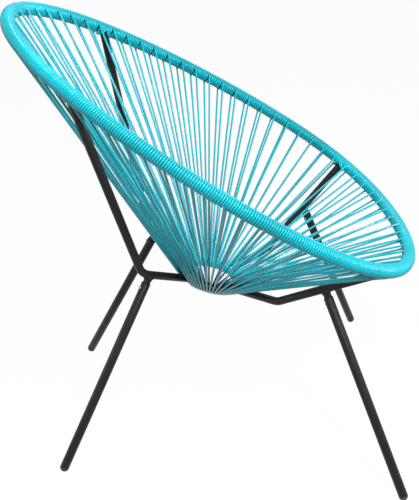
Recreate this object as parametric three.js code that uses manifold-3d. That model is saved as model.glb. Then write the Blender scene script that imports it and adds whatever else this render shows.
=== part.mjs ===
// Acapulco chair: an egg-shaped hoop, wound with plastic cord and strung to a small
// ring under the seat, on four bent arms and four plug-in legs.
// Millimetres, +Z up. The sitter faces -Y, so their left is +X. The feet stand on Z = 0,
// and the origin lies under the middle of the hoop.
import * as THREE from 'three';
import { mergeVertices } from 'three/addons/utils/BufferGeometryUtils.js';
import Module from 'manifold-3d';

const wasm = await Module();
wasm.setup();
const degrees = THREE.MathUtils.degToRad;

// Steel stock
const RIM_TUBE_D = 17.2;
const FRAME_TUBE_D = 16;
const FRAME_WALL = 1.2;
const LEG_TUBE_D = 18;
const LEG_WALL = 1.2;
const SPIGOT_WALL = 1.5;

// Clearance between pieces that touch
const FIT_GAP = 0.3;

// Rim: a planar, egg-shaped hoop. Its outline is a cosine and sine curve with small
// second and third waves, which widen it towards the front and fill its corners.
const RIM_HALF_WIDTH = 372;
const RIM_HALF_LENGTH = 424;
const RIM_EGG = 43.4;
const RIM_FULLNESS = 11.7;
const RIM_END_DRAW = 8.2;
const RIM_TILT = degrees(31.2);
const RIM_CENTRE_HEIGHT = 606.5;

// Seat ring: a round hoop under the seat, which holds the inner ends of the cords
const SEAT_RING_RADIUS = 59.2;
const SEAT_RING_HEIGHT = 316.8;
const SEAT_RING_BEHIND_RIM_CENTRE = 59.2;
const SEAT_RING_TILT = degrees(16.2);

// Bent arms: where they meet the rim, as angles of its curve, and where they bend,
// measured from the seat ring's centre
const FRONT_ARM_RIM_ANGLE = degrees(46.4);
const REAR_ARM_RIM_ANGLE = degrees(139.2);
const FRONT_BEND_OUT = 126.6;
const FRONT_BEND_AHEAD = 128;
const FRONT_BEND_RISE = 2.2;
const REAR_BEND_OUT = 107.6;
const REAR_BEND_BEHIND = 133;
const REAR_BEND_RISE = 59.5;
const ARM_BEND_RADIUS = 42;
const END_INSIDE_SHARE = 1 / 8;

// Legs: where their axes start on the arms, measured from the bends, and the feet
const FRONT_LEG_FROM_BEND = 124.9;
const REAR_LEG_FROM_BEND = 19.2;
const FRONT_FOOT_OUT = 334.5;
const FRONT_FOOT_AHEAD = 333.4;
const REAR_FOOT_OUT = 223;
const REAR_FOOT_BEHIND = 322.2;
const LEG_NECK = 10;
const SPIGOT_REACH = 55;
const FOOT_FLAT_DEPTH = 1;
const CAP_STEM_LENGTH = 16;

// Leg screws, through the leg and its spigot: outside the rear legs, inside the front ones
const SCREW_FROM_LEG_TOP = 12;
const SCREW_D = 3;
const SCREW_HEAD_D = 6;
const SCREW_HEAD_HEIGHT = 2.4;
const SCREW_CROWN_SHARE = 2 / 3;
const SCREW_EDGE_SHARE = 3 / 4;
const SCREW_PAST_SPIGOT = 2;

// Cord: wound on the rim, with one loop to the seat ring at each notch of the winding
const CORD_D = 4.4;
const END_STRETCH_SHARE = 16 / 68;
const ARM_SIDE_ROOM = 13.6;
const NODES_PER_STRETCH = 4;

// Facets
const RIM_TUBE_SIDES = 8;
const TUBE_SIDES = 12;
const LEG_SIDES = 12;
const WINDING_SIDES = 10;
const BORE_SIDES = 6;
const RING_STEPS = 34;
const BEND_STEPS = 5;
const DOME_STEPS = 4;
const LOOP_STEPS = 3;
const RIM_SAMPLES = 720;

const STEEL = new THREE.MeshStandardMaterial({ color: 0x1d1c1e, roughness: 0.55, metalness: 0.3 });
const CORD = new THREE.MeshStandardMaterial({ color: 0x0fb0bb, roughness: 0.3, metalness: 0 });
const CAP = new THREE.MeshStandardMaterial({ color: 0x141414, roughness: 0.7, metalness: 0 });
const SCREW = new THREE.MeshStandardMaterial({ color: 0x8d9093, roughness: 0.35, metalness: 0.9 });

const X_AXIS = new THREE.Vector3(1, 0, 0);
const windingRadius = RIM_TUBE_D / 2 + CORD_D;

// A loop's cord is square in section, with the area of the round one
const CORD_HALF_SQUARE = (CORD_D / 4) * Math.sqrt(Math.PI);

// Planes of the two hoops: ahead points to the front along the plane, up is its normal
function tiltedPlane(tilt) {
  return {
    ahead: new THREE.Vector3(0, -Math.cos(tilt), -Math.sin(tilt)),
    up: new THREE.Vector3(0, -Math.sin(tilt), Math.cos(tilt)),
  };
}

const rimPlane = tiltedPlane(RIM_TILT);
const ringPlane = tiltedPlane(SEAT_RING_TILT);

// Rim centre line, from the front end round by the left side. Its angle is zero in front.
class RimCurve extends THREE.Curve {
  constructor(centre) {
    super();
    this.centre = centre;
    this.arcLengthDivisions = RIM_SAMPLES;
  }

  pointAtAngle(angle) {
    const across = RIM_HALF_WIDTH * Math.sin(angle) + RIM_FULLNESS * Math.sin(3 * angle);
    const along = RIM_HALF_LENGTH * Math.cos(angle) - RIM_EGG * Math.cos(2 * angle)
      + RIM_END_DRAW * Math.cos(3 * angle);
    return this.centre.clone().addScaledVector(X_AXIS, across).addScaledVector(rimPlane.ahead, along);
  }

  getPoint(t) {
    return this.pointAtAngle(2 * Math.PI * t);
  }

  lengthToAngle(angle) {
    const lengths = this.getLengths();
    const place = (angle / (2 * Math.PI)) * RIM_SAMPLES;
    const index = Math.floor(place);
    return THREE.MathUtils.lerp(lengths[index], lengths[index + 1], place - index);
  }
}

// The rim is centred over the origin: half of its reach lies before it and half behind.
function makeRim() {
  const draft = new RimCurve(new THREE.Vector3(0, 0, RIM_CENTRE_HEIGHT));
  const reach = draft.getPoints(RIM_SAMPLES).map((point) => point.y);
  const middle = (Math.max(...reach) + Math.min(...reach)) / 2;
  return new RimCurve(new THREE.Vector3(0, -middle, RIM_CENTRE_HEIGHT));
}

const rim = makeRim();
const rimLength = rim.getLength();
const ringCentre = new THREE.Vector3(0, rim.centre.y + SEAT_RING_BEHIND_RIM_CENTRE, SEAT_RING_HEIGHT);

function ringSpoke(angle) {
  return X_AXIS.clone().multiplyScalar(Math.sin(angle)).addScaledVector(ringPlane.ahead, Math.cos(angle));
}

function ringPoint(angle) {
  return ringCentre.clone().addScaledVector(ringSpoke(angle), SEAT_RING_RADIUS);
}

// Loops of cord lie side by side inside the seat ring, which sets how many there are.
const loopSeatRadius = SEAT_RING_RADIUS - FRAME_TUBE_D / 2 - FIT_GAP - CORD_D / 2;
const pairsOfLoops = Math.floor((Math.PI * loopSeatRadius) / (CORD_D + FIT_GAP / 4));
const loopCount = 2 * pairsOfLoops;
const loopAngle = (2 * Math.PI) / loopCount;
const endLoops = Math.round(loopCount * END_STRETCH_SHARE);
const sideLoops = pairsOfLoops - endLoops;
const armRingAngle = (endLoops / 2) * loopAngle;

// Stretches of winding between the arms, by length along the rim and angle on the ring
const frontArmLength = rim.lengthToAngle(FRONT_ARM_RIM_ANGLE);
const rearArmLength = rim.lengthToAngle(REAR_ARM_RIM_ANGLE);
const stretches = [
  { name: 'front', from: -frontArmLength, to: frontArmLength, loops: endLoops, angle: -armRingAngle },
  { name: 'left', from: frontArmLength, to: rearArmLength, loops: sideLoops, angle: armRingAngle },
  {
    name: 'back', from: rearArmLength, to: rimLength - rearArmLength, loops: endLoops,
    angle: Math.PI - armRingAngle,
  },
  {
    name: 'right', from: rimLength - rearArmLength, to: rimLength - frontArmLength, loops: sideLoops,
    angle: Math.PI + armRingAngle,
  },
];

// Each stretch is divided into sections, each with its own whole loops.
function sectionsOf(stretch) {
  const step = (stretch.to - stretch.from) / stretch.loops;
  const sections = [];
  for (let i = 0; i < NODES_PER_STRETCH; i += 1) {
    const first = Math.round((stretch.loops * i) / NODES_PER_STRETCH);
    const last = Math.round((stretch.loops * (i + 1)) / NODES_PER_STRETCH);
    const notches = [];
    for (let loop = first; loop < last; loop += 1) {
      notches.push({ loop, length: stretch.from + (loop + 0.5) * step });
    }
    sections.push({
      name: `cord_${stretch.name}_${i + 1}`,
      stretch,
      from: stretch.from + first * step,
      to: stretch.from + last * step,
      notches,
    });
  }
  return sections;
}

const sections = stretches.flatMap(sectionsOf);

function rimShare(length) {
  return THREE.MathUtils.euclideanModulo(length / rimLength, 1);
}

// Stations where the rim's straight facets join: at each notch and section end
const stations = sections.flatMap((section) => [
  section.from,
  ...section.notches.map((notch) => notch.length),
]);

// One cross-section of a bar: its centre, the way it runs and two directions across it
function station(centre, tangent, towards) {
  const side = towards.clone().addScaledVector(tangent, -towards.dot(tangent)).normalize();
  return { centre, tangent, side, up: new THREE.Vector3().crossVectors(tangent, side) };
}

// A cross-section of the rim, with its side towards the seat ring
function rimStation(length) {
  const share = rimShare(length);
  const centre = rim.getPointAt(share);
  return station(centre, rim.getTangentAt(share), ringCentre.clone().sub(centre));
}

// A ring of vertices round a station
function ringVertices({ centre, side, up }, radius, sides) {
  const vertices = [];
  for (let i = 0; i < sides; i += 1) {
    const turn = (2 * Math.PI * (i + 0.5)) / sides;
    vertices.push(
      centre.clone()
        .addScaledVector(side, radius * Math.cos(turn))
        .addScaledVector(up, radius * Math.sin(turn)),
    );
  }
  return vertices;
}

// Four corners round a station, in the order of the faces of a winding
function squareVertices({ centre, side, up }, half) {
  return [[-1, -1], [1, -1], [1, 1], [-1, 1]].map(([a, b]) => (
    centre.clone().addScaledVector(side, a * half).addScaledVector(up, b * half)
  ));
}

// A closed mesh, put together from rings of vertices
class Skin {
  constructor() {
    this.positions = [];
    this.indices = [];
  }

  ring(vertices) {
    const first = this.positions.length / 3;
    this.positions.push(...vertices.flatMap((vertex) => vertex.toArray()));
    return vertices.map((_, i) => first + i);
  }

  // Joins two rings face by face, apart from the faces that are left open
  join(ring, next, open = []) {
    ring.forEach((a, i) => {
      const j = (i + 1) % ring.length;
      if (!open.includes(i)) {
        this.indices.push(a, ring[j], next[j], a, next[j], next[i]);
      }
    });
  }

  // Joins two rings that differ in their number of vertices and lie in one plane
  bridge(ring, next) {
    let i = 0;
    let j = 0;
    while (i < ring.length || j < next.length) {
      const a = ring[i % ring.length];
      const b = next[j % next.length];
      if ((i + 1) / ring.length < (j + 1) / next.length) {
        i += 1;
        this.indices.push(a, ring[i % ring.length], b);
      } else {
        j += 1;
        this.indices.push(a, next[j % next.length], b);
      }
    }
  }

  cap(ring) {
    for (let i = 1; i < ring.length - 1; i += 1) {
      this.indices.push(ring[0], ring[i], ring[i + 1]);
    }
  }

  geometry() {
    const geometry = new THREE.BufferGeometry();
    geometry.setAttribute('position', new THREE.Float32BufferAttribute(this.positions, 3));
    geometry.setIndex(this.indices);
    return geometry;
  }
}

// A bar through stations: a closed hoop, or a bar with flat ends
function bar(places, radius, sides, closed) {
  const skin = new Skin();
  const rings = places.map((place) => skin.ring(ringVertices(place, radius, sides)));
  rings.slice(1).forEach((ring, i) => skin.join(rings[i], ring));
  if (closed) {
    skin.join(rings.at(-1), rings[0]);
  } else {
    skin.cap([...rings[0]].reverse());
    skin.cap(rings.at(-1));
  }
  return skin.geometry();
}

function solidOf(geometry) {
  const bare = geometry.clone();
  bare.deleteAttribute('normal');
  bare.deleteAttribute('uv');
  const merged = mergeVertices(bare);
  return new wasm.Manifold(new wasm.Mesh({
    numProp: 3,
    vertProperties: new Float32Array(merged.attributes.position.array),
    triVerts: new Uint32Array(merged.index.array),
  }));
}

function geometryOf(solid) {
  const mesh = solid.getMesh();
  const geometry = new THREE.BufferGeometry();
  geometry.setAttribute('position', new THREE.Float32BufferAttribute(mesh.vertProperties, 3));
  geometry.setIndex(Array.from(mesh.triVerts));
  return geometry;
}

// Points along two straight runs with a round bend of the given radius between them
function bentPath(start, corner, end, radius) {
  const into = corner.clone().sub(start).normalize();
  const out = end.clone().sub(corner).normalize();
  const turn = into.angleTo(out);
  const reach = radius * Math.tan(turn / 2);
  const inward = out.clone().sub(into).normalize();
  const centre = corner.clone().addScaledVector(inward, radius / Math.cos(turn / 2));
  const spoke = corner.clone().addScaledVector(into, -reach).sub(centre);
  const axis = new THREE.Vector3().crossVectors(into, out).normalize();
  const points = [start.clone()];
  for (let i = 0; i <= BEND_STEPS; i += 1) {
    points.push(spoke.clone().applyAxisAngle(axis, (turn * i) / BEND_STEPS).add(centre));
  }
  points.push(end.clone());
  return points;
}

// Stations along points that lie in one plane, square to the way the bar runs
function planarStations(points) {
  const first = points[1].clone().sub(points[0]);
  const last = points.at(-1).clone().sub(points.at(-2));
  const normal = new THREE.Vector3().crossVectors(first, last).normalize();
  return points.map((point, i) => {
    const before = points[Math.max(i - 1, 0)];
    const after = points[Math.min(i + 1, points.length - 1)];
    return station(point, after.clone().sub(before).normalize(), normal);
  });
}

// A turned piece, whose profile is given as [radius, place along the axis] pairs.
// It is set up so that the axis runs from the base point in the given direction.
function turned(profile, sides, base, direction) {
  const points = profile.map(([radius, place]) => new THREE.Vector2(radius, place));
  const geometry = new THREE.LatheGeometry(points, sides);
  const yAxis = new THREE.Vector3(0, 1, 0);
  geometry.applyQuaternion(new THREE.Quaternion().setFromUnitVectors(yAxis, direction));
  geometry.translate(base.x, base.y, base.z);
  return geometry;
}

function rod(radius, from, to, sides, base, direction) {
  return turned([[0, from], [radius, from], [radius, to], [0, to]], sides, base, direction);
}

function pipe(outer, inner, from, to, sides, base, direction) {
  const profile = [[inner, from], [outer, from], [outer, to], [inner, to], [inner, from]];
  return turned(profile, sides, base, direction);
}

const group = new THREE.Group();
group.name = 'acapulco_chair';

function addMesh(name, geometry, material) {
  const mesh = new THREE.Mesh(geometry, material);
  mesh.name = name;
  group.add(mesh);
}

// Hoops
function rimTube(radius) {
  return bar(stations.map(rimStation), radius, RIM_TUBE_SIDES, true);
}

function ringStation(angle) {
  const tangent = new THREE.Vector3().crossVectors(ringPlane.up, ringSpoke(angle));
  return station(ringPoint(angle), tangent, ringSpoke(angle).negate());
}

function seatRing(radius) {
  const places = [];
  for (let i = 0; i < RING_STEPS; i += 1) {
    places.push(ringStation((2 * Math.PI * i) / RING_STEPS));
  }
  return bar(places, radius, TUBE_SIDES, true);
}

addMesh('rim_tube', rimTube(RIM_TUBE_D / 2), STEEL);
addMesh('seat_ring', seatRing(FRAME_TUBE_D / 2), STEEL);

// Room round the two hoops, which the arms are cut to
const rimRoom = solidOf(rimTube(RIM_TUBE_D / 2 + FIT_GAP));
const ringRoom = solidOf(seatRing(FRAME_TUBE_D / 2 + FIT_GAP));

// Axis of one arm, from the rim over the bend to the seat ring. Each arm ends a little
// before the centre lines of the hoops, inside their room.
function armAxis(end, side) {
  const front = end === 'front';
  const rimAngle = front ? FRONT_ARM_RIM_ANGLE : REAR_ARM_RIM_ANGLE;
  const ringAngle = front ? armRingAngle : Math.PI - armRingAngle;
  const bend = front
    ? new THREE.Vector3(FRONT_BEND_OUT, -FRONT_BEND_AHEAD, FRONT_BEND_RISE)
    : new THREE.Vector3(REAR_BEND_OUT, REAR_BEND_BEHIND, REAR_BEND_RISE);
  const mirror = new THREE.Vector3(side, 1, 1);
  return {
    top: rim.pointAtAngle(rimAngle).multiply(mirror),
    bend: bend.add(ringCentre).multiply(mirror),
    foot: ringPoint(ringAngle).multiply(mirror),
  };
}

function armPath(axis) {
  const short = FRAME_TUBE_D * END_INSIDE_SHARE;
  const down = axis.bend.clone().sub(axis.top).normalize();
  const inward = axis.foot.clone().sub(axis.bend).normalize();
  return bentPath(
    axis.top.clone().addScaledVector(down, short),
    axis.bend,
    axis.foot.clone().addScaledVector(inward, -short),
    ARM_BEND_RADIUS,
  );
}

// One leg with its spigot, cap and screw. Its axis starts on the arm.
function legAxis(end, side, arm) {
  const front = end === 'front';
  const along = front ? arm.top : arm.foot;
  const distance = front ? FRONT_LEG_FROM_BEND : REAR_LEG_FROM_BEND;
  const start = arm.bend.clone().addScaledVector(along.clone().sub(arm.bend).normalize(), distance);
  const height = LEG_TUBE_D / 2 - FOOT_FLAT_DEPTH;
  const foot = front
    ? new THREE.Vector3(side * FRONT_FOOT_OUT, -FRONT_FOOT_AHEAD, height)
    : new THREE.Vector3(side * REAR_FOOT_OUT, REAR_FOOT_BEHIND, height);
  const direction = foot.clone().sub(start).normalize();
  const facing = new THREE.Vector3(direction.x, direction.y, 0).multiplyScalar(front ? -1 : 1);
  const screwSide = facing.addScaledVector(direction, -facing.dot(direction)).normalize();
  return { start, foot, direction, screwSide, length: foot.distanceTo(start) };
}

const legRadius = LEG_TUBE_D / 2;
const boreRadius = legRadius - LEG_WALL;
const spigotRadius = boreRadius - FIT_GAP;
const legTop = FRAME_TUBE_D / 2 + LEG_NECK;
const screwPlace = legTop + SCREW_FROM_LEG_TOP;

function addLeg(name, leg, armRoom) {
  const screwBase = leg.start.clone().addScaledVector(leg.direction, screwPlace);
  const screwRadius = SCREW_D / 2;
  const holeSolid = solidOf(
    rod(screwRadius + FIT_GAP, 0, LEG_TUBE_D, TUBE_SIDES, screwBase, leg.screwSide),
  );
  const spigotInner = spigotRadius - SPIGOT_WALL;
  const spigotStart = FRAME_TUBE_D * END_INSIDE_SHARE;
  const spigotEnd = legTop + SPIGOT_REACH;
  const spigot = pipe(
    spigotRadius, spigotInner, spigotStart, spigotEnd, LEG_SIDES, leg.start, leg.direction,
  );
  addMesh(`spigot_${name}`, geometryOf(solidOf(spigot).subtract(armRoom).subtract(holeSolid)), STEEL);

  const tube = pipe(legRadius, boreRadius, legTop, leg.length, LEG_SIDES, leg.start, leg.direction);
  addMesh(`leg_${name}`, geometryOf(solidOf(tube).subtract(holeSolid)), STEEL);

  const dome = [];
  for (let i = 0; i <= DOME_STEPS; i += 1) {
    const turn = (Math.PI / 2) * (i / DOME_STEPS);
    dome.push([i === DOME_STEPS ? 0 : legRadius * Math.cos(turn), FIT_GAP + legRadius * Math.sin(turn)]);
  }
  const stem = [[0, -CAP_STEM_LENGTH], [spigotRadius, -CAP_STEM_LENGTH], [spigotRadius, FIT_GAP]];
  const cap = turned([...stem, ...dome], LEG_SIDES, leg.foot, leg.direction);
  const below = new THREE.BoxGeometry(LEG_TUBE_D * 2, LEG_TUBE_D * 2, LEG_TUBE_D);
  below.translate(leg.foot.x, leg.foot.y, -legRadius);
  addMesh(`foot_cap_${name}`, geometryOf(solidOf(cap).subtract(solidOf(below))), CAP);

  const headBase = legRadius + FIT_GAP;
  const screw = turned(
    [
      [0, spigotInner - SCREW_PAST_SPIGOT],
      [screwRadius, spigotInner - SCREW_PAST_SPIGOT],
      [screwRadius, headBase],
      [SCREW_HEAD_D / 2, headBase],
      [(SCREW_HEAD_D / 2) * SCREW_CROWN_SHARE, headBase + SCREW_HEAD_HEIGHT * SCREW_EDGE_SHARE],
      [0, headBase + SCREW_HEAD_HEIGHT],
    ],
    TUBE_SIDES,
    screwBase,
    leg.screwSide,
  );
  addMesh(`leg_screw_${name}`, screw, SCREW);
}

const armRooms = [];
for (const end of ['front', 'rear']) {
  for (const [sideName, side] of [['left', 1], ['right', -1]]) {
    const name = `${end}_${sideName}`;
    const axis = armAxis(end, side);
    const places = planarStations(armPath(axis));
    const outside = solidOf(bar(places, FRAME_TUBE_D / 2, TUBE_SIDES, false));
    const bore = solidOf(bar(places, FRAME_TUBE_D / 2 - FRAME_WALL, TUBE_SIDES, false));
    const arm = outside.subtract(bore).subtract(rimRoom).subtract(ringRoom);
    addMesh(`arm_${name}`, geometryOf(arm), STEEL);
    const armRoom = solidOf(bar(places, FRAME_TUBE_D / 2 + FIT_GAP, TUBE_SIDES, false));
    armRooms.push(armRoom);
    addLeg(name, legAxis(end, side, axis), armRoom);
  }
}

// Angle on the seat ring at which a loop leaves its underside. The arms meet the ring
// from outside, so the loops beside them are pushed along to leave room.
function undersideAngle(stretch, loop) {
  const room = ARM_SIDE_ROOM / (SEAT_RING_RADIUS + FRAME_TUBE_D / 2);
  const span = stretch.loops * loopAngle - 2 * room;
  return stretch.angle + room + (span * loop) / (stretch.loops - 1);
}

// Cross-sections of one loop of cord: out from the rim's upper side to the top of the
// seat ring, half round the ring by its inside, and from its underside back to the
// rim's lower side
function loopStations(stretch, notch) {
  const atRim = rimStation(notch.length);
  const topAngle = stretch.angle + (notch.loop + 0.5) * loopAngle;
  const bottomAngle = undersideAngle(stretch, notch.loop);
  const rimReach = (RIM_TUBE_D + CORD_D) / 2;
  const ringReach = (FRAME_TUBE_D / 2 + FIT_GAP + CORD_D / 2) / Math.cos(Math.PI / LOOP_STEPS / 2);
  const path = [];
  const leaveRim = (angle, sign) => {
    const run = ringPoint(angle).sub(atRim.centre).normalize();
    const off = new THREE.Vector3().crossVectors(atRim.tangent, run).normalize();
    const centre = atRim.centre.clone()
      .addScaledVector(off, sign * rimReach)
      .addScaledVector(run, windingRadius);
    path.push({ centre, across: atRim.tangent });
  };
  leaveRim(topAngle, 1);
  for (let i = 0; i <= LOOP_STEPS; i += 1) {
    const turn = (Math.PI * i) / LOOP_STEPS;
    const blend = Math.max(0, (i - 1) / (LOOP_STEPS - 1));
    const angle = THREE.MathUtils.lerp(topAngle, bottomAngle, blend);
    const { centre, tangent } = ringStation(angle);
    const run = centre.clone().sub(atRim.centre).normalize();
    const off = new THREE.Vector3().crossVectors(tangent, run).normalize();
    const inward = new THREE.Vector3().crossVectors(off, tangent).normalize();
    path.push({
      centre: centre
        .addScaledVector(off, ringReach * Math.cos(turn))
        .addScaledVector(inward, ringReach * Math.sin(turn)),
      across: tangent,
    });
  }
  leaveRim(bottomAngle, -1);
  return path.map(({ centre, across }, i) => {
    const before = path[Math.max(i - 1, 0)].centre;
    const after = path[Math.min(i + 1, path.length - 1)].centre;
    const run = after.clone().sub(before).normalize();
    const up = new THREE.Vector3().crossVectors(across, run);
    return station(centre, run, up);
  });
}

// Faces of the winding that a loop leaves from and comes back to, counted from the side
// that looks at the seat ring
const leavingAngle = Math.asin((RIM_TUBE_D + CORD_D) / 2 / windingRadius);
const upperFace = Math.round((leavingAngle * WINDING_SIDES) / (2 * Math.PI));
const lowerFace = WINDING_SIDES - upperFace;

// One section of cord: a sleeve of winding with a bore that follows the rim tube's
// facets, and its loops, each grown out of a face of the sleeve at its notch
function cordSection(section) {
  const skin = new Skin();
  const boreCorner = (RIM_TUBE_D / 2 + FIT_GAP) / Math.cos(Math.PI / BORE_SIDES);
  const ends = [section.from + FIT_GAP / 2, section.to - FIT_GAP / 2];
  const windingRing = (length) => (
    skin.ring(ringVertices(rimStation(length), windingRadius, WINDING_SIDES))
  );
  const boreRing = (length) => (
    skin.ring(ringVertices(rimStation(length), boreCorner, BORE_SIDES))
  );
  const outerStart = windingRing(ends[0]);
  let outer = outerStart;
  for (const notch of section.notches) {
    const before = windingRing(notch.length - CORD_D / 2);
    const after = windingRing(notch.length + CORD_D / 2);
    skin.join(outer, before);
    skin.join(before, after, [upperFace - 1, lowerFace - 1]);
    outer = after;
    const corners = (face) => [face - 1, face % WINDING_SIDES];
    const [a, b] = corners(upperFace);
    const [c, d] = corners(lowerFace);
    let ring = [before[a], before[b], after[b], after[a]];
    for (const place of loopStations(section.stretch, notch)) {
      const next = skin.ring(squareVertices(place, CORD_HALF_SQUARE));
      skin.join(ring, next);
      ring = next;
    }
    skin.join(ring, [before[d], before[c], after[c], after[d]]);
  }
  const outerEnd = windingRing(ends[1]);
  skin.join(outer, outerEnd);
  const bores = [ends[1], ...section.notches.map((notch) => notch.length).reverse(), ends[0]]
    .map(boreRing);
  skin.bridge(outerEnd, bores[0]);
  bores.slice(1).forEach((ring, i) => skin.join(bores[i], ring));
  skin.bridge(bores.at(-1), outerStart);
  return skin.geometry();
}

for (const section of sections) {
  let solid = solidOf(cordSection(section));
  for (const armRoom of armRooms) {
    solid = solid.subtract(armRoom);
  }
  addMesh(section.name, geometryOf(solid), CORD);
}

export default group;
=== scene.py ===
# Acapulco chair: the dressed model. One cord is wound round the egg-shaped hoop in close
# turns, and strung from each notch of the winding to the seat ring and back.
# The sizes are in millimetres and repeat those of the CAD model. Meshes are in metres.
import math
import random

import bpy
import numpy as np
from mathutils import Matrix, Vector


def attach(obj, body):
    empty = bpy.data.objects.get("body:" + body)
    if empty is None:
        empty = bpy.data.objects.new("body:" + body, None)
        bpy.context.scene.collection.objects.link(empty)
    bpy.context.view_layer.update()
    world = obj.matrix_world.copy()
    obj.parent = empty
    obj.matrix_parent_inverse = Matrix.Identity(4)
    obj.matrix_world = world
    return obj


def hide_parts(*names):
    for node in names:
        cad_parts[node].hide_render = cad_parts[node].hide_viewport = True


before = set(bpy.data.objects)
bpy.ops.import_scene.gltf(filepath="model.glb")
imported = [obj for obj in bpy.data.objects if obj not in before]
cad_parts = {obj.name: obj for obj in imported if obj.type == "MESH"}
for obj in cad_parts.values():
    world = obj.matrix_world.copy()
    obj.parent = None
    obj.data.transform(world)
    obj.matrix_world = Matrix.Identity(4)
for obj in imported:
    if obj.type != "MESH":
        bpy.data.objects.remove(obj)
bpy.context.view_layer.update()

MM = 0.001
TURN = 2 * math.pi

# Steel stock
RIM_TUBE_D = 17.2
FRAME_TUBE_D = 16
LEG_TUBE_D = 18
LEG_WALL = 1.2
SPIGOT_WALL = 1.5
FIT_GAP = 0.3

# Rim: a planar, egg-shaped hoop
RIM_HALF_WIDTH = 372
RIM_HALF_LENGTH = 424
RIM_EGG = 43.4
RIM_FULLNESS = 11.7
RIM_END_DRAW = 8.2
RIM_TILT = math.radians(31.2)
RIM_CENTRE_HEIGHT = 606.5

# Seat ring
SEAT_RING_RADIUS = 59.2
SEAT_RING_HEIGHT = 316.8
SEAT_RING_BEHIND_RIM_CENTRE = 59.2
SEAT_RING_TILT = math.radians(16.2)

# Bent arms: their angles on the rim's curve, and their bends from the seat ring's centre
FRONT_ARM_RIM_ANGLE = math.radians(46.4)
REAR_ARM_RIM_ANGLE = math.radians(139.2)
FRONT_BEND = (126.6, -128, 2.2)
REAR_BEND = (107.6, 133, 59.5)
ARM_BEND_RADIUS = 42

# Legs: where they start on the arms, from the bends, and their feet
FRONT_LEG_FROM_BEND = 124.9
REAR_LEG_FROM_BEND = 19.2
FRONT_FOOT = (334.5, -333.4)
REAR_FOOT = (223, 322.2)
LEG_NECK = 10
LEG_LIP = 0.4
FOOT_FLAT_DEPTH = 1

# Spigots: their reach into the legs, and their flare at the arm, which ends in two steps
SPIGOT_REACH = 55
SPIGOT_FLARE = 0.9
SPIGOT_FLARE_MIDDLE = 0.3
SPIGOT_FLARE_START = 1
SPIGOT_FLARE_STEP = 2

# Weld beads: their radius, the waves along them, and a wave's share of the radius
WELD_BEAD = 2.2
WELD_WAVES = 12
WELD_WAVE_SHARE = 0.16

# Leg screws
SCREW_FROM_LEG_TOP = 12
SCREW_HEAD_D = 6
SCREW_HEAD_HEIGHT = 2.4
SCREW_SLOT_WIDTH = 1
SCREW_SLOT_REACH = 1.8
SCREW_SLOT_DEPTH = 1.2
SCREW_DOME_POWER = 4

# Cord: its diameter, at which its turns touch, and the slightly smaller one that is shown,
# which leaves the dark lines between them
CORD_D = 4.4
CORD_SHOWN_D = 4.14

# Loops: all of them, those in front and behind, half the distance of a loop's strands on the
# rim, the room that they leave an arm on the seat ring, and their random shift
LOOPS = 68
END_STRETCH_LOOPS = 16
LOOP_HALF_STEP = 1.1
ARM_SIDE_ROOM = 13.6
SLACK = 0.12

# Turns: how they spread to close a notch, up to an angle from it
NOTCH_CLOSING = 0.09
NOTCH_CLOSING_NONE = math.radians(75)

# Turns beside an arm: the angles from it where they are bunched fully and no more, the second
# layer's lift in cord diameters, the flank's least sine, and the angle past a stretch's ends
BUNCH_FULL = math.radians(10)
BUNCH_NONE = math.radians(52)
SECOND_LAYER_LIFT = 0.9
FLANK_SINE_LEAST = 0.5
TURN_MARGIN = 1

# Facets
CORD_SIDES = 10
POINTS_PER_TURN = 15
POINTS_PER_STRAND = 5
POINTS_ROUND_RING = 10
TUBE_SIDES = 28
RIM_HOOP_POINTS = 360
RING_HOOP_POINTS = 120
BEND_STEPS = 14
CAP_STEPS = 10
SCREW_STEPS = 11
SCREW_SIDES = 48
WELD_STEPS = 48
WELD_SIDES = 10
WELD_HALVINGS = 24
TIP_RADIUS = 0.01
RIM_SAMPLES = 2880

# The part of a unit direction at which it counts as along that axis, and the random seed
NEARLY_ALONG = 0.9
SEED = 7

# Floor, in metres, and world
FLOOR_HALF = 9
FLOOR_GLOW = 0.97
FLOOR_TONE_LIT = 0.3
FLOOR_TONE_SEEN = 0.9
WORLD_STRENGTH = 0.05
WORLD_COLOUR = (0.95, 0.97, 1, 1)
WHITE = (1, 1, 1, 1)

# Lamps, in metres and watts. The key is a strip, which gives each turn of cord a long glint.
LAMP_AIM = (0, 0, 0.5)
STRIP_SIZE = (0.3, 1.4)
BOX_SIZE = (1.2, 1.2)

# Camera, in metres, radians and pixels of the photograph's frame
PHOTO_WIDTH = 419
PHOTO_HEIGHT = 500
CAMERA_PLACE = (-1.5908, 0.0109, 1.1324)
CAMERA_YAW = math.radians(-1.74)
CAMERA_PITCH = math.radians(-26.25)
CAMERA_ROLL = math.radians(-0.5)
FOCAL_LENGTH = 860
VIEW_CENTRE = (239.88, 260.63)
SENSOR = 36

X_AXIS, Y_AXIS, Z_AXIS = np.eye(3)
rng = random.Random(SEED)


def unit(vector):
    return vector / np.linalg.norm(vector)


def plane_of(tilt):
    """The direction ahead, to the front along a tilted plane, and the plane's normal."""
    ahead = np.array([0.0, -math.cos(tilt), -math.sin(tilt)])
    up = np.array([0.0, -math.sin(tilt), math.cos(tilt)])
    return ahead, up


def axes_across(direction):
    """Two axes that are square to a direction and to each other."""
    other = X_AXIS if abs(direction[0]) < NEARLY_ALONG else Y_AXIS
    side = unit(np.cross(direction, other))
    return side, np.cross(direction, side)


def round_steps(sides):
    """The cosines and sines of evenly spaced angles, as columns."""
    turns = TURN * np.arange(sides) / sides
    return np.cos(turns)[:, None], np.sin(turns)[:, None]


rim_ahead, _ = plane_of(RIM_TILT)
ring_ahead, ring_up = plane_of(SEAT_RING_TILT)


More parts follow.
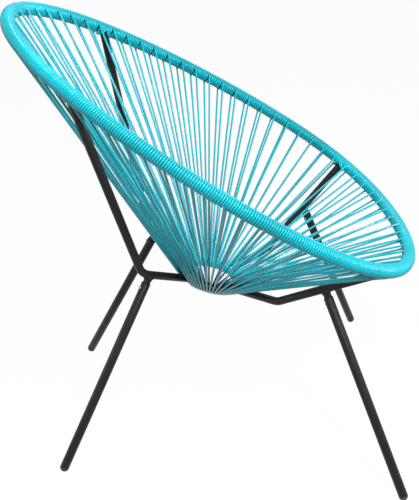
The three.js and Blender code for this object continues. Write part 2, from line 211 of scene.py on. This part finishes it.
class Rim:
    """The rim's centre line, by angle and by length. Both are zero in front."""

    def __init__(self):
        self.centre = np.array([0.0, 0.0, RIM_CENTRE_HEIGHT])
        self.angles = np.linspace(0, TURN, RIM_SAMPLES + 1)
        points = np.array([self.at_angle(angle) for angle in self.angles])
        self.centre[1] = -(points[:, 1].max() + points[:, 1].min()) / 2
        steps = np.linalg.norm(np.diff(points, axis=0), axis=1)
        self.lengths = np.concatenate([[0], np.cumsum(steps)])
        self.length = self.lengths[-1]

    def at_angle(self, angle):
        across = RIM_HALF_WIDTH * math.sin(angle) + RIM_FULLNESS * math.sin(3 * angle)
        along = (
            RIM_HALF_LENGTH * math.cos(angle)
            - RIM_EGG * math.cos(2 * angle)
            + RIM_END_DRAW * math.cos(3 * angle)
        )
        return self.centre + across * X_AXIS + along * rim_ahead

    def length_to(self, angle):
        return float(np.interp(angle, self.angles, self.lengths))

    def angle_at(self, length):
        return float(np.interp(length % self.length, self.lengths, self.angles))


def rim_slope(angle):
    """The rim's tangent at an angle."""
    across = RIM_HALF_WIDTH * math.cos(angle) + 3 * RIM_FULLNESS * math.cos(3 * angle)
    along = (
        -RIM_HALF_LENGTH * math.sin(angle)
        + 2 * RIM_EGG * math.sin(2 * angle)
        - 3 * RIM_END_DRAW * math.sin(3 * angle)
    )
    return unit(across * X_AXIS + along * rim_ahead)


rim = Rim()
ring_centre = np.array([0.0, rim.centre[1] + SEAT_RING_BEHIND_RIM_CENTRE, SEAT_RING_HEIGHT])


def rim_frame(length):
    """Centre, tangent, side towards the seat ring, and up, at a length along the rim."""
    angle = rim.angle_at(length)
    centre = rim.at_angle(angle)
    tangent = rim_slope(angle)
    towards = ring_centre - centre
    side = unit(towards - towards.dot(tangent) * tangent)
    return centre, tangent, side, np.cross(tangent, side)


def ring_spoke(angle):
    return math.sin(angle) * X_AXIS + math.cos(angle) * ring_ahead


def ring_point(angle):
    return ring_centre + SEAT_RING_RADIUS * ring_spoke(angle)


# Objects


def new_object(name, mesh, material, replaced=()):
    """A smooth piece on the chair's one body, which stands for CAD nodes if any are named."""
    mesh.polygons.foreach_set("use_smooth", [True] * len(mesh.polygons))
    mesh.materials.append(material)
    piece = bpy.data.objects.new(name, mesh)
    bpy.context.scene.collection.objects.link(piece)
    if replaced:
        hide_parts(*replaced)
    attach(piece, "root")


def grid_mesh(name, rings, closed, capped=False):
    """A mesh from rings of points, in millimetres. The rings close on themselves."""
    rings = np.asarray(rings, dtype=float)
    count, sides, _ = rings.shape
    vertices = (rings * MM).reshape(-1, 3)
    starts = np.arange(count if closed else count - 1)[:, None] * sides
    nexts = (starts + sides) % (count * sides)
    i = np.arange(sides)[None, :]
    j = (i + 1) % sides
    quads = np.stack([starts + i, starts + j, nexts + j, nexts + i], axis=-1).reshape(-1, 4)
    faces = quads.tolist()
    if capped:
        faces.append(list(range(sides))[::-1])
        faces.append(list(range((count - 1) * sides, count * sides)))
    mesh = bpy.data.meshes.new(name)
    mesh.from_pydata(vertices.tolist(), [], faces)
    along = np.concatenate([[0], np.cumsum(np.linalg.norm(np.diff(rings[:, 0], axis=0), axis=1))])
    u = np.repeat(along * MM, sides)
    v = np.tile(np.arange(sides) / sides, count)
    layer = mesh.uv_layers.new(name="along")
    corner = np.empty(len(mesh.loops), dtype=int)
    mesh.loops.foreach_get("vertex_index", corner)
    layer.data.foreach_set("uv", np.stack([u[corner], v[corner]], axis=1).ravel())
    return mesh


def sweep(path, radii, sides, closed=False):
    """Rings round a path, carried along it without twist."""
    path = np.asarray(path, dtype=float)
    radii = np.broadcast_to(np.asarray(radii, dtype=float), len(path))
    if closed:
        ways = np.roll(path, -1, axis=0) - np.roll(path, 1, axis=0)
    else:
        ways = np.gradient(path, axis=0)
    ways /= np.linalg.norm(ways, axis=1)[:, None]
    start = Z_AXIS if abs(ways[0][2]) < NEARLY_ALONG else X_AXIS
    side = unit(np.cross(ways[0], start))
    cosines, sines = round_steps(sides)
    rings = []
    for point, way, radius in zip(path, ways, radii):
        side = unit(side - side.dot(way) * way)
        up = np.cross(way, side)
        rings.append(point + radius * (cosines * side + sines * up))
    return np.array(rings)


def turned(profile, base, direction, sides):
    """Rings of a turned piece: (radius, place) pairs along a direction from a base point."""
    side, up = axes_across(direction)
    cosines, sines = round_steps(sides)
    return np.array([
        base + place * direction + radius * (cosines * side + sines * up)
        for radius, place in profile
    ])


# Materials


def material_base(name, roughness):
    """A new material. Its plain roughness serves where a linked one can't be read."""
    material = bpy.data.materials.new(name)
    material.use_nodes = True
    nodes = material.node_tree.nodes
    shader = nodes["Principled BSDF"]
    shader.inputs["Roughness"].default_value = roughness
    return material, nodes, material.node_tree.links, shader


def noise(nodes, links, scale, detail=3.0, vector=None):
    """A noise texture. Without a vector it is laid out in the object's own metres."""
    texture = nodes.new("ShaderNodeTexNoise")
    texture.inputs["Scale"].default_value = scale
    texture.inputs["Detail"].default_value = detail
    if vector is None:
        place = nodes.new("ShaderNodeTexCoord")
        vector = place.outputs["Object"]
    links.new(vector, texture.inputs["Vector"])
    return texture


def ramp(nodes, links, factor, stops):
    """A colour ramp with (position, colour) stops."""
    node = nodes.new("ShaderNodeValToRGB")
    elements = node.color_ramp.elements
    for element, (position, colour) in zip(elements, (stops[0], stops[-1])):
        element.position = position
        element.color = (*colour, 1)
    for position, colour in stops[1:-1]:
        elements.new(position).color = (*colour, 1)
    links.new(factor, node.inputs["Fac"])
    return node


def grey(value):
    return (value, value, value)


def math_node(nodes, links, operation, first, second):
    """A maths node on a link and a second link or number."""
    node = nodes.new("ShaderNodeMath")
    node.operation = operation
    links.new(first, node.inputs[0])
    if isinstance(second, bpy.types.NodeSocket):
        links.new(second, node.inputs[1])
    else:
        node.inputs[1].default_value = second
    return node


def bump(nodes, links, shader, height, strength, distance):
    node = nodes.new("ShaderNodeBump")
    node.inputs["Strength"].default_value = strength
    node.inputs["Distance"].default_value = distance
    links.new(height, node.inputs["Height"])
    links.new(node.outputs["Normal"], shader.inputs["Normal"])


def powder_coat():
    """Matte black powder coat, with its fine orange peel and a faint brown cast."""
    material, nodes, links, shader = material_base("powder_coat", 0.45)
    shader.inputs["Specular IOR Level"].default_value = 0.2
    tint = noise(nodes, links, scale=22)
    colours = [(0.3, (0.0065, 0.0062, 0.0068)), (0.7, (0.0125, 0.0112, 0.0107))]
    colour = ramp(nodes, links, tint.outputs["Fac"], colours)
    links.new(colour.outputs["Color"], shader.inputs["Base Color"])
    handled = noise(nodes, links, scale=60)
    sheen = ramp(nodes, links, handled.outputs["Fac"], [(0.3, grey(0.34)), (0.7, grey(0.48))])
    links.new(sheen.outputs["Color"], shader.inputs["Roughness"])
    peel = noise(nodes, links, scale=700, detail=2)
    bump(nodes, links, shader, peel.outputs["Fac"], strength=0.25, distance=0.0004)
    return material


def cord_vinyl():
    """Glossy turquoise cord, drawn through a die: faint lines run along it."""
    material, nodes, links, shader = material_base("cord_vinyl", 0.28)
    place = nodes.new("ShaderNodeTexCoord")
    stretch = nodes.new("ShaderNodeMapping")
    stretch.inputs["Scale"].default_value = (14, 5, 1)
    links.new(place.outputs["UV"], stretch.inputs["Vector"])
    lines = noise(nodes, links, scale=2.2, detail=2, vector=stretch.outputs["Vector"])
    patches = noise(nodes, links, scale=9)
    patch_share = math_node(nodes, links, "MULTIPLY", patches.outputs["Fac"], 0.65)
    mix = math_node(nodes, links, "MULTIPLY_ADD", lines.outputs["Fac"], 0.35)
    links.new(patch_share.outputs["Value"], mix.inputs[2])
    colours = [(0.34, (0.0, 0.29, 0.36)), (0.5, (0.0, 0.355, 0.43)), (0.66, (0.0, 0.42, 0.5))]
    colour = ramp(nodes, links, mix.outputs["Value"], colours)
    links.new(colour.outputs["Color"], shader.inputs["Base Color"])
    handled = noise(nodes, links, scale=45)
    gloss = ramp(nodes, links, handled.outputs["Fac"], [(0.3, grey(0.12)), (0.7, grey(0.22))])
    links.new(gloss.outputs["Color"], shader.inputs["Roughness"])
    shader.inputs["Specular IOR Level"].default_value = 0.3
    bump(nodes, links, shader, lines.outputs["Fac"], strength=0.06, distance=0.0003)
    return material


def rubber():
    """Black moulded rubber of the foot caps, with a little dust."""
    material, nodes, links, shader = material_base("foot_rubber", 0.62)
    dust = noise(nodes, links, scale=140)
    colours = [(0.35, grey(0.012)), (0.7, (0.03, 0.028, 0.026))]
    colour = ramp(nodes, links, dust.outputs["Fac"], colours)
    links.new(colour.outputs["Color"], shader.inputs["Base Color"])
    grain = noise(nodes, links, scale=900, detail=2)
    bump(nodes, links, shader, grain.outputs["Fac"], strength=0.3, distance=0.0003)
    return material


def zinc():
    """Zinc-plated steel of the screws."""
    material, nodes, links, shader = material_base("zinc", 0.32)
    shader.inputs["Metallic"].default_value = 1
    spangle = noise(nodes, links, scale=300)
    colours = [(0.3, (0.2, 0.2, 0.205)), (0.7, (0.32, 0.315, 0.305))]
    colour = ramp(nodes, links, spangle.outputs["Fac"], colours)
    links.new(colour.outputs["Color"], shader.inputs["Base Color"])
    grain = noise(nodes, links, scale=1600, detail=2)
    bump(nodes, links, shader, grain.outputs["Fac"], strength=0.2, distance=0.0001)
    return material


def background_rays(nodes, links):
    """One for the rays that show the background: the camera's, in gloss and through glass."""
    path = nodes.new("ShaderNodeLightPath")
    seen = path.outputs["Is Camera Ray"]
    for kind in ("Is Glossy Ray", "Is Transmission Ray"):
        either = math_node(nodes, links, "MAXIMUM", seen, path.outputs[kind])
        seen = either.outputs["Value"]
    return seen


def pale_floor(name):
    """A pale surface that the camera sees nearly white, with the chair's soft shadow."""
    material, nodes, links, shader = material_base(name, 0.9)
    shader.inputs["Specular IOR Level"].default_value = 0.1
    seen = background_rays(nodes, links)
    tone = ramp(nodes, links, seen, [(0, grey(FLOOR_TONE_LIT)), (1, grey(FLOOR_TONE_SEEN))])
    links.new(tone.outputs["Color"], shader.inputs["Base Color"])
    glow = nodes.new("ShaderNodeEmission")
    glow.inputs["Color"].default_value = WHITE
    glow.inputs["Strength"].default_value = 1
    share = math_node(nodes, links, "MULTIPLY", seen, FLOOR_GLOW)
    mix = nodes.new("ShaderNodeMixShader")
    links.new(share.outputs["Value"], mix.inputs["Fac"])
    links.new(shader.outputs["BSDF"], mix.inputs[1])
    links.new(glow.outputs["Emission"], mix.inputs[2])
    links.new(mix.outputs["Shader"], nodes["Material Output"].inputs["Surface"])
    return material


STEEL = powder_coat()
CORD = cord_vinyl()
RUBBER = rubber()
ZINC = zinc()

# Hoops


def make_hoop(name, path, diameter, replaced):
    rings = sweep(path, diameter / 2, TUBE_SIDES, closed=True)
    new_object(name, grid_mesh(name, rings, closed=True), STEEL, replaced)


rim_path = [rim.at_angle(a) for a in np.linspace(0, TURN, RIM_HOOP_POINTS + 1)[:-1]]
make_hoop("rim_hoop", rim_path, RIM_TUBE_D, ["rim_tube"])
ring_path = [ring_point(a) for a in np.linspace(0, TURN, RING_HOOP_POINTS + 1)[:-1]]
make_hoop("ring_hoop", ring_path, FRAME_TUBE_D, ["seat_ring"])

# Stretches of winding between the arms: start, end, loops, and angle on the seat ring

loop_angle = TURN / LOOPS
arm_ring_angle = END_STRETCH_LOOPS / 2 * loop_angle
side_loops = LOOPS // 2 - END_STRETCH_LOOPS
front_arm_length = rim.length_to(FRONT_ARM_RIM_ANGLE)
rear_arm_length = rim.length_to(REAR_ARM_RIM_ANGLE)
stretches = [
    (-front_arm_length, front_arm_length, END_STRETCH_LOOPS, -arm_ring_angle),
    (front_arm_length, rear_arm_length, side_loops, arm_ring_angle),
    (rear_arm_length, rim.length - rear_arm_length, END_STRETCH_LOOPS, math.pi - arm_ring_angle),
    (rim.length - rear_arm_length, rim.length - front_arm_length, side_loops,
     math.pi + arm_ring_angle),
]
frame_radius = FRAME_TUBE_D / 2
cord_radius = CORD_D / 2
rim_reach = RIM_TUBE_D / 2 + cord_radius
ring_reach = frame_radius + cord_radius


class Loop:
    """One loop of cord: its place on the rim, and where it meets the seat ring."""

    def __init__(self, stretch, index):
        start, end, count, angle = stretch
        step = (end - start) / count
        self.length = start + (index + 0.5) * step + rng.uniform(-SLACK, SLACK)
        self.top_angle = angle + (index + 0.5) * loop_angle
        room = ARM_SIDE_ROOM / (SEAT_RING_RADIUS + frame_radius)
        span = count * loop_angle - 2 * room
        self.bottom_angle = angle + room + span * index / (count - 1)


loops = [Loop(stretch, index) for stretch in stretches for index in range(stretch[2])]


def winding_angle(length, ring_angle, sign):
    """The angle round the rim's tube at which the cord meets or leaves it."""
    centre, tangent, side, up = rim_frame(length)
    run = unit(ring_point(ring_angle) - centre)
    off = sign * unit(np.cross(tangent, run))
    return math.atan2(off.dot(up), off.dot(side))


def winding_point(length, turn, lift=0):
    """The cord's centre at an angle round the rim's tube."""
    centre, _, side, up = rim_frame(length)
    return centre + (rim_reach + lift) * (math.cos(turn) * side + math.sin(turn) * up)


def arm_axis(end, side):
    """The arm's corner points: on the rim, at its bend, and on the seat ring."""
    front = end == "front"
    mirror = np.array([side, 1, 1])
    rim_angle = FRONT_ARM_RIM_ANGLE if front else REAR_ARM_RIM_ANGLE
    ring_angle = arm_ring_angle if front else math.pi - arm_ring_angle
    bend = np.array(FRONT_BEND if front else REAR_BEND) + ring_centre
    return rim.at_angle(rim_angle) * mirror, bend * mirror, ring_point(ring_angle) * mirror


# The cord's turns beside the arms: they are bunched in two layers to let the arm through.


def arms_on_rim():
    """Length along the rim of each arm's end, and the arm's direction there."""
    places = []
    for end, length in (("front", front_arm_length), ("rear", rear_arm_length)):
        for side, at in ((1, length), (-1, rim.length - length)):
            top, bend, _ = arm_axis(end, side)
            places.append((at, unit(bend - top)))
    return places


def smooth_window(angle, full, none):
    """One up to the angle full, falling to zero at the angle none."""
    share = min(max((none - abs(angle)) / (none - full), 0), 1)
    return share * share * (3 - 2 * share)


def bunch(length, turn, arm, passes):
    """Moves a point of the winding beside an arm. Returns its length and lift."""
    at, arm_turn, slant = arm
    number = round((turn - arm_turn) / TURN)
    if number not in passes:
        return length, 0
    target, layer, natural = passes[number]
    away = turn - arm_turn - number * TURN
    share = smooth_window(away, BUNCH_FULL, BUNCH_NONE)
    lean = slant * rim_reach * math.cos(away)
    moved = length + share * (target - natural + lean)
    lift = share * layer * CORD_D * SECOND_LAYER_LIFT
    # A turn that closes in over the arm's flank rides on it
    if abs(away) < math.pi / 2:
        off_axis = (moved - at - lean) / math.sqrt(1 + slant * slant)
        clear = ring_reach ** 2 - off_axis ** 2
        if clear > 0:
            flank = max(abs(math.sin(away)), FLANK_SINE_LEAST)
            lift = max(lift, math.sqrt(clear) / flank - rim_reach)
    return moved, lift


def plan_bunch(start, pitch, first_turn, last_turn, arm):
    """Where each pass of the winding goes beside an arm: {pass: (target, layer, natural)}."""
    at, arm_turn, slant = arm
    beside = ring_reach * math.sqrt(1 + slant * slant)
    passes = {}
    for sign in (-1, 1):
        found = []
        for number in range(math.ceil(last_turn / TURN) + 1):
            turn = arm_turn + number * TURN
            natural = start + (turn - first_turn) / TURN * pitch - at
            inside = first_turn - TURN_MARGIN <= turn <= last_turn + TURN_MARGIN
            if inside and natural * sign > 0:
                found.append((abs(natural), number, natural))
        places = [(beside, 1), (beside + CORD_D, 1), (beside, 0), (beside + CORD_D, 0)]
        for (_, number, natural), (target, layer) in zip(sorted(found), places):
            passes[number] = (sign * target, layer, natural)
    return passes


def wind(points, loop, following, arms):
    """Adds the turns from one loop's upper strand to the next loop's lower strand."""
    step = (loop.length - following.length) % rim.length
    start = loop.length - LOOP_HALF_STEP
    end = loop.length - step + LOOP_HALF_STEP
    first = winding_angle(start, loop.top_angle, 1)
    last = winding_angle(end, following.bottom_angle, -1)
    last += TURN * round(step / CORD_D)
    pitch = (end - start) / ((last - first) / TURN)
    near = None
    for at, way in arms:
        shifted = start - (start - at) % rim.length
        if shifted > end:
            _, tangent, side, up = rim_frame(at)
            across = way - way.dot(tangent) * tangent
            arm_turn = math.atan2(across.dot(up), across.dot(side)) % TURN
            slant = way.dot(tangent) / np.linalg.norm(across)
            near = (shifted, arm_turn, slant)
    passes = plan_bunch(start, pitch, first, last, near) if near else {}
    count = round((last - first) / TURN * POINTS_PER_TURN)
    for i in range(count + 1):
        turn = first + (last - first) * i / count
        length = start + (end - start) * i / count
        lift = 0
        if near:
            length, lift = bunch(length, turn, near, passes)
        else:
            away = (turn + math.pi) % TURN - math.pi
            share = NOTCH_CLOSING * smooth_window(away, 0, NOTCH_CLOSING_NONE)
            length += share * (length - (start + end) / 2)
        points.append(winding_point(length, turn, lift))


def add_strand(points, start, end):
    """Adds the points of a straight strand, without its ends."""
    for i in range(1, POINTS_PER_STRAND):
        points.append(start + (end - start) * (i / POINTS_PER_STRAND))


def string_loop(points, loop):
    """Adds a loop's lower strand, its way round the seat ring's inside, and its upper strand."""
    centre = rim_frame(loop.length)[0]
    rounds = []
    for i in range(POINTS_ROUND_RING + 1):
        turn = math.pi * (1 - i / POINTS_ROUND_RING)
        # The cord shifts along the ring on the first two thirds of its way round
        blend = max(0, 1.5 * turn / math.pi - 0.5)
        angle = loop.top_angle + (loop.bottom_angle - loop.top_angle) * blend
        spoke = ring_spoke(angle)
        tangent = np.cross(ring_up, spoke)
        at = ring_point(angle)
        run = unit(at - centre)
        off = unit(np.cross(tangent, run))
        inward = unit(np.cross(off, tangent))
        rounds.append(at + ring_reach * (math.cos(turn) * off + math.sin(turn) * inward))
    add_strand(points, points[-1], rounds[0])
    points.extend(rounds)
    landing = loop.length - LOOP_HALF_STEP
    meet = winding_point(landing, winding_angle(landing, loop.top_angle, 1))
    add_strand(points, rounds[-1], meet)


def make_cord():
    """The whole cord as one closed sweep, which stands for all the cord's solids."""
    arms = arms_on_rim()
    points = []
    # The winding runs against the order of the loops
    backwards = loops[::-1]
    for loop, following in zip(backwards, backwards[1:] + backwards[:1]):
        wind(points, loop, following, arms)
        string_loop(points, following)
    nodes = [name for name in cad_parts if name.startswith("cord_")]
    rings = sweep(points, CORD_SHOWN_D / 2, CORD_SIDES, closed=True)
    new_object("wound_cord", grid_mesh("wound_cord", rings, closed=True), CORD, nodes)


make_cord()

# Arms and legs


def bent_path(start, corner, end, radius):
    """Two straight runs with a round bend between them."""
    into = unit(corner - start)
    out = unit(end - corner)
    turn = math.acos(into.dot(out))
    reach = radius * math.tan(turn / 2)
    inward = unit(out - into)
    centre = corner + inward * radius / math.cos(turn / 2)
    path = [start]
    for i in range(BEND_STEPS + 1):
        share = i / BEND_STEPS
        chord = (corner - into * reach) * (1 - share) + (corner + out * reach) * share
        path.append(centre + radius * unit(chord - centre))
    path.append(end)
    return path


def weld(name, base, direction, radius, distance_to_other, other_radius):
    """A bead where a tube's end meets another tube: it follows the line where they cross."""
    side, up = axes_across(direction)
    path = []
    radii = []
    for i in range(WELD_STEPS):
        turn = TURN * i / WELD_STEPS
        foot = base + radius * (math.cos(turn) * side + math.sin(turn) * up)
        # The other tube's surface is found by halving, within four radii of the base
        near, far = 0.0, 4 * radius
        for _ in range(WELD_HALVINGS):
            middle = (near + far) / 2
            if distance_to_other(foot + middle * direction) < other_radius:
                near = middle
            else:
                far = middle
        path.append(foot + far * direction)
        radii.append(WELD_BEAD * (1 + WELD_WAVE_SHARE * math.sin(WELD_WAVES * turn)))
    rings = sweep(path, radii, WELD_SIDES, closed=True)
    new_object(name, grid_mesh(name, rings, closed=True), STEEL)


def distance_to_rim(point):
    offsets = np.asarray(rim_path) - point
    return float(np.sqrt((offsets ** 2).sum(axis=1).min()))


def distance_to_ring(point):
    offset = point - ring_centre
    height = offset.dot(ring_up)
    flat = offset - height * ring_up
    return math.hypot(height, np.linalg.norm(flat) - SEAT_RING_RADIUS)


def line_distance(start, direction):
    """A function that measures a point's distance to a line."""
    def measure(point):
        offset = point - start
        return float(np.linalg.norm(offset - offset.dot(direction) * direction))
    return measure


leg_radius = LEG_TUBE_D / 2
bore_radius = leg_radius - LEG_WALL
spigot_radius = bore_radius - FIT_GAP
leg_top = frame_radius + LEG_NECK


def make_screw(name, base, direction, replaced):
    """A pan-head screw with a cross recess."""
    side, up = axes_across(direction)
    rings = []
    radius = SCREW_HEAD_D / 2
    outline = [(radius, 0)]
    for i in range(SCREW_STEPS):
        share = 1 - i / SCREW_STEPS
        dome = FIT_GAP + SCREW_HEAD_HEIGHT * math.sqrt(1 - share ** SCREW_DOME_POWER)
        outline.append((radius * share, dome))
    for r, place in outline:
        ring = []
        for k in range(SCREW_SIDES):
            turn = TURN * k / SCREW_SIDES
            x, y = r * math.cos(turn), r * math.sin(turn)
            across = min(abs(x), abs(y))
            reach = max(abs(x), abs(y))
            inside = across < SCREW_SLOT_WIDTH / 2 and reach < SCREW_SLOT_REACH
            depth = SCREW_SLOT_DEPTH if inside else 0
            ring.append(base + (place - depth) * direction + x * side + y * up)
        rings.append(ring)
    mesh = grid_mesh(name, rings, closed=False, capped=True)
    new_object(name, mesh, ZINC, replaced)


def make_leg(name, end, side, arm):
    """A leg with its spigot, foot cap and screw."""
    top, bend, foot_of_arm = arm
    front = end == "front"
    along = unit((top if front else foot_of_arm) - bend)
    start = bend + along * (FRONT_LEG_FROM_BEND if front else REAR_LEG_FROM_BEND)
    foot_x, foot_y = FRONT_FOOT if front else REAR_FOOT
    foot = np.array([side * foot_x, foot_y, leg_radius - FOOT_FLAT_DEPTH])
    direction = unit(foot - start)
    length = float(np.linalg.norm(foot - start))

    # Spigot, flared a little into its weld
    flare = frame_radius + SPIGOT_FLARE_START
    profile = [
        (spigot_radius + SPIGOT_FLARE, frame_radius / 2),
        (spigot_radius + SPIGOT_FLARE, flare),
        (spigot_radius + SPIGOT_FLARE_MIDDLE, flare + SPIGOT_FLARE_STEP),
        (spigot_radius, flare + 2 * SPIGOT_FLARE_STEP),
        (spigot_radius, leg_top + SPIGOT_REACH),
        (spigot_radius - SPIGOT_WALL, leg_top + SPIGOT_REACH),
        (spigot_radius - SPIGOT_WALL, frame_radius / 2),
    ]
    rings = turned(profile, start, direction, TUBE_SIDES)
    spigot = grid_mesh(f"leg_spigot_{name}", rings, closed=True)
    new_object(f"leg_spigot_{name}", spigot, STEEL, [f"spigot_{name}"])
    weld(f"spigot_weld_{name}", start, direction, spigot_radius,
         line_distance(start, along), frame_radius)

    # Leg tube, with a rounded lip at its open top
    profile = [
        (bore_radius, leg_top + LEG_LIP),
        (bore_radius + LEG_LIP / 2, leg_top),
        (leg_radius - LEG_LIP / 2, leg_top),
        (leg_radius, leg_top + LEG_LIP),
        (leg_radius, length - LEG_LIP),
        (leg_radius - LEG_LIP / 2, length),
        (bore_radius, length),
    ]
    rings = turned(profile, start, direction, TUBE_SIDES)
    tube = grid_mesh(f"leg_tube_{name}", rings, closed=True)
    new_object(f"leg_tube_{name}", tube, STEEL, [f"leg_{name}"])

    # Foot cap: a dome under the tube's end, with a collar in its bore
    profile = [
        (TIP_RADIUS, -LEG_LIP),
        (bore_radius, -LEG_LIP),
        (bore_radius, LEG_LIP),
        (leg_radius - LEG_LIP, LEG_LIP),
    ]
    for i in range(CAP_STEPS + 1):
        turn = math.pi / 2 * i / CAP_STEPS
        place = 2 * LEG_LIP + (leg_radius - LEG_LIP) * math.sin(turn)
        profile.append((max(leg_radius * math.cos(turn), TIP_RADIUS), place))
    rings = turned(profile, foot, direction, TUBE_SIDES)
    # The cap is flat where it rests on the floor
    rings[:, :, 2] = np.maximum(rings[:, :, 2], 0)
    cap = grid_mesh(f"cap_{name}", rings, closed=False, capped=True)
    new_object(f"cap_{name}", cap, RUBBER, [f"foot_cap_{name}"])

    # The screws face outwards on the rear legs and inwards on the front ones
    facing = np.array([direction[0], direction[1], 0]) * (-1 if front else 1)
    screw_side = unit(facing - facing.dot(direction) * direction)
    screw_base = start + direction * (leg_top + SCREW_FROM_LEG_TOP) + screw_side * leg_radius
    make_screw(f"screw_{name}", screw_base, screw_side, [f"leg_screw_{name}"])


for end in ("front", "rear"):
    for side_name, side in (("left", 1), ("right", -1)):
        name = f"{end}_{side_name}"
        arm = arm_axis(end, side)
        top, bend, foot = arm
        path = bent_path(top, bend, foot, ARM_BEND_RADIUS)
        rings = sweep(path, frame_radius, TUBE_SIDES)
        mesh = grid_mesh(f"bent_arm_{name}", rings, closed=False, capped=True)
        new_object(f"bent_arm_{name}", mesh, STEEL, [f"arm_{name}"])
        weld(f"ring_weld_{name}", foot, unit(bend - foot), frame_radius,
             distance_to_ring, frame_radius)
        weld(f"rim_weld_{name}", top, unit(bend - top), frame_radius,
             distance_to_rim, RIM_TUBE_D / 2)
        make_leg(name, end, side, arm)

# Floor, light and camera


def make_floor():
    mesh = bpy.data.meshes.new("studio_floor")
    corners = [(FLOOR_HALF * x, FLOOR_HALF * y, 0) for x, y in ((-1, -1), (1, -1), (1, 1), (-1, 1))]
    mesh.from_pydata(corners, [], [(0, 1, 2, 3)])
    mesh.materials.append(pale_floor("pale_floor"))
    floor = bpy.data.objects.new("studio_floor", mesh)
    bpy.context.scene.collection.objects.link(floor)


def softbox(name, place, size, power, colour=WHITE[:3]):
    light = bpy.data.lights.new(name, "AREA")
    light.shape = "RECTANGLE"
    light.size, light.size_y = size
    light.energy = power
    light.color = colour
    lamp = bpy.data.objects.new(name, light)
    lamp.location = place
    way = Vector(LAMP_AIM) - Vector(place)
    lamp.rotation_euler = way.to_track_quat("-Z", "Y").to_euler()
    bpy.context.scene.collection.objects.link(lamp)


def make_world():
    world = bpy.data.worlds.new("studio")
    bpy.context.scene.world = world
    world.use_nodes = True
    nodes, links = world.node_tree.nodes, world.node_tree.links
    soft = nodes["Background"]
    soft.inputs["Color"].default_value = WORLD_COLOUR
    soft.inputs["Strength"].default_value = WORLD_STRENGTH
    white = nodes.new("ShaderNodeBackground")
    white.inputs["Color"].default_value = WHITE
    mix = nodes.new("ShaderNodeMixShader")
    links.new(background_rays(nodes, links), mix.inputs["Fac"])
    links.new(soft.outputs["Background"], mix.inputs[1])
    links.new(white.outputs["Background"], mix.inputs[2])
    links.new(mix.outputs["Shader"], nodes["World Output"].inputs["Surface"])


def make_camera():
    data = bpy.data.cameras.new("camera")
    data.sensor_width = SENSOR
    data.lens = SENSOR * FOCAL_LENGTH / PHOTO_HEIGHT
    data.shift_x = (PHOTO_WIDTH / 2 - VIEW_CENTRE[0]) / PHOTO_HEIGHT
    data.shift_y = (VIEW_CENTRE[1] - PHOTO_HEIGHT / 2) / PHOTO_HEIGHT
    camera = bpy.data.objects.new("camera", data)
    ahead = Vector((
        math.cos(CAMERA_YAW) * math.cos(CAMERA_PITCH),
        math.sin(CAMERA_YAW) * math.cos(CAMERA_PITCH),
        math.sin(CAMERA_PITCH),
    ))
    right = Vector((math.sin(CAMERA_YAW), -math.cos(CAMERA_YAW), 0))
    above = right.cross(ahead)
    roll_cos, roll_sin = math.cos(CAMERA_ROLL), math.sin(CAMERA_ROLL)
    x_axis = right * roll_cos + above * roll_sin
    y_axis = above * roll_cos - right * roll_sin
    turn = Matrix((x_axis, y_axis, -ahead)).transposed()
    camera.matrix_world = Matrix.Translation(CAMERA_PLACE) @ turn.to_4x4()
    bpy.context.scene.collection.objects.link(camera)
    bpy.context.scene.camera = camera


make_floor()
make_world()
softbox("key", (-1.25, -0.35, 1.85), STRIP_SIZE, power=58, colour=(1, 0.99, 0.98))
softbox("side", (-0.87, -1.5, 1.5), BOX_SIZE, power=20)
softbox("low", (-0.5, 1.9, 0.9), BOX_SIZE, power=12, colour=(0.96, 0.98, 1))
softbox("back", (1.7, 0.3, 1.8), BOX_SIZE, power=8)
make_camera()
bpy.context.scene.view_settings.view_transform = "Standard"
